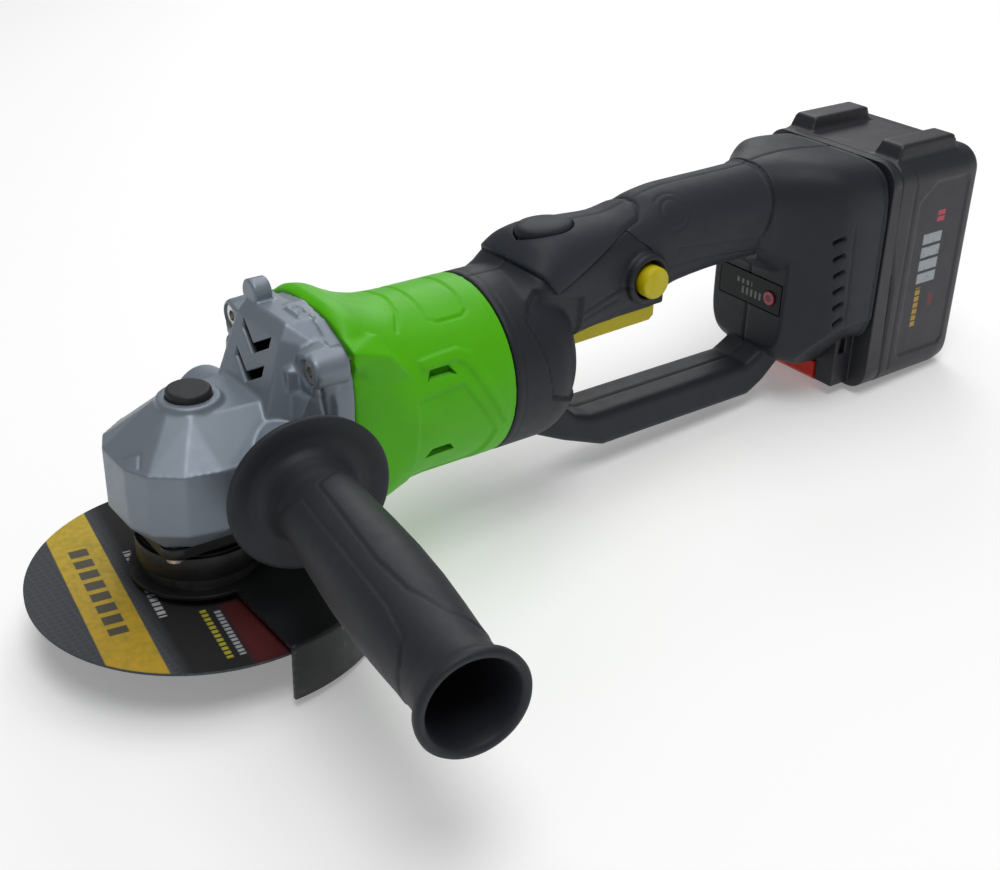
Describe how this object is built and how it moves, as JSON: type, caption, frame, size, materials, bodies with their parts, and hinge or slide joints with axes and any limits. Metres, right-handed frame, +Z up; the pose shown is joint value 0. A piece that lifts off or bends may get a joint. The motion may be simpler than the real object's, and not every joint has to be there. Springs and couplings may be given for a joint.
{
  "type": "angle grinder",
  "caption": "Cordless angle grinder with a cutting disc, half guard, side handle, closed rear handle with trigger, and a slide-on battery pack.",
  "frame": {"origin": "centre of the free end of the spindle thread", "axes": "+Z up the spindle away from the disc, +X along the motor axis towards the battery, -Y towards the side handle"},
  "size_m": [0.4335, 0.2395, 0.1295],
  "materials": {
    "head_metal": "satin blue-grey paint on cast aluminium",
    "black_metal": "black coated metal",
    "screw_steel": "zinc plated",
    "black_plastic": "moulded, fine texture",
    "spring_steel": "drawn wire",
    "steel": "ground",
    "rubber": "matt",
    "gear_steel": "cut and hardened",
    "abrasive": "resin bonded abrasive with a printed face",
    "guard_steel": "black powder coat",
    "green_plastic": "moulded, fine texture",
    "lamination": "stacked sheet",
    "copper": "bare or enamelled copper",
    "magnet": "nickel plated",
    "fan_plastic": "moulded",
    "shell_plastic": "moulded, fine texture",
    "soft_grip": "soft overmould",
    "yellow_plastic": "moulded",
    "panel_plastic": "smooth",
    "panel_button": "smooth, red ring",
    "circuit_board": "solder mask",
    "battery_plastic": "moulded, fine texture",
    "cell_wrap": "heat-shrink wrap",
    "red_plastic": "moulded",
    "handle_rubber": "moulded with a soft skin"
  },
  "bodies": {
    "root": {"bearing_bridge": "black_plastic", "bearing_cover": "black_metal", "controller_board": "circuit_board", "cover_screws": "screw_steel", "far_handle_socket": "steel", "front_motor_bearing_outer": "steel", "gear_housing": "head_metal", "gear_housing_screws": "screw_steel", "grip_overmould": "soft_grip", "handle_shell_left": "shell_plastic", "handle_shell_right": "shell_plastic", "indicator_panel": "panel_plastic", "lock_off_spring": "spring_steel", "lock_spring": "spring_steel", "motor_housing": "green_plastic", "near_handle_socket": "steel", "needle_bearing": "steel", "rear_motor_bearing_outer": "steel", "shell_screws": "screw_steel", "side_handle_grip": "handle_rubber", "side_handle_stud": "steel", "spindle_bearing_outer": "steel", "spindle_seal": "rubber", "stator_core": "lamination", "stator_windings": "copper", "terminal_blades": "copper", "terminal_block": "black_plastic", "top_button_spring": "spring_steel", "trigger_pin": "steel", "trigger_spring": "spring_steel", "trigger_switch": "black_plastic"},
    "spindle": {"spindle": "steel", "bevel_gear": "gear_steel", "spindle_bearing_inner": "steel", "spindle_spacer": "steel", "inner_flange": "steel", "cutting_disc": "abrasive", "flange_nut": "steel"},
    "rotor": {"rotor_shaft": "steel", "pinion": "gear_steel", "rotor_core": "lamination", "rotor_magnets": "magnet", "cooling_fan": "fan_plastic", "front_motor_bearing_inner": "steel", "rear_motor_bearing_inner": "steel"},
    "guard": {"guard": "guard_steel", "guard_clamp": "guard_steel", "guard_clamp_screw": "screw_steel"},
    "lock_button": {"lock_button": "black_plastic"},
    "trigger": {"trigger": "yellow_plastic"},
    "lock_off": {"lock_off_button": "yellow_plastic"},
    "top_button": {"top_button": "soft_grip"},
    "panel_button": {"indicator_button": "panel_button"},
    "battery": {"battery_base": "battery_plastic", "battery_shell": "battery_plastic", "battery_cells": "cell_wrap", "battery_board": "circuit_board", "battery_contacts": "copper", "latch_spring": "spring_steel"},
    "latch": {"battery_latch": "red_plastic"}
  },
  "joints": [
    {"name": "spindle_spin", "type": "hinge", "parent": "root", "child": "spindle", "pos_m": [0, 0, 0], "axis": [0, 0, 1], "continuous": true},
    {"name": "rotor_spin", "type": "hinge", "parent": "root", "child": "rotor", "pos_m": [0, 0, 0.0645], "axis": [1, 0, 0], "continuous": true},
    {"name": "guard_swivel", "type": "hinge", "parent": "root", "child": "guard", "pos_m": [0, 0, 0.024], "axis": [0, 0, 1], "range_deg": [-90, 90]},
    {"name": "lock_press", "type": "slide", "parent": "root", "child": "lock_button", "axis": [0, 0, -1], "range_m": [0, 0.0035], "stiffness_N_per_m": 800, "springref_m": -0.003, "deforming": ["lock_spring"]},
    {"name": "trigger_pull", "type": "hinge", "parent": "root", "child": "trigger", "pos_m": [0.166, 0, 0.072], "axis": [0, -1, 0], "range_deg": [0, 5], "stiffness_Nm_per_rad": 0.5, "springref_deg": -8.59, "deforming": ["trigger_spring"]},
    {"name": "lock_off_press", "type": "slide", "parent": "root", "child": "lock_off", "axis": [0, 1, 0], "range_m": [0, 0.004], "stiffness_N_per_m": 600, "springref_m": -0.003, "deforming": ["lock_off_spring"]},
    {"name": "top_button_press", "type": "slide", "parent": "root", "child": "top_button", "axis": [0, 0, -1], "range_m": [0, 0.002], "stiffness_N_per_m": 1200, "springref_m": -0.002, "deforming": ["top_button_spring"]},
    {"name": "panel_button_press", "type": "slide", "parent": "root", "child": "panel_button", "axis": [1, 0, 0], "range_m": [0, 0.0006], "stiffness_N_per_m": 1500, "springref_m": -0.0005},
    {"name": "battery_slide", "type": "slide", "parent": "root", "child": "battery", "axis": [0, 0, -1], "range_m": [0, 0.09]},
    {"name": "latch_press", "type": "slide", "parent": "battery", "child": "latch", "axis": [1, 0, 0], "range_m": [0, 0.0022], "stiffness_N_per_m": 900, "springref_m": -0.003, "deforming": ["latch_spring"]}
  ],
  "couplings": [
    {"joint": "rotor_spin", "follows": "spindle_spin", "ratio": 3.3636}
  ]
}
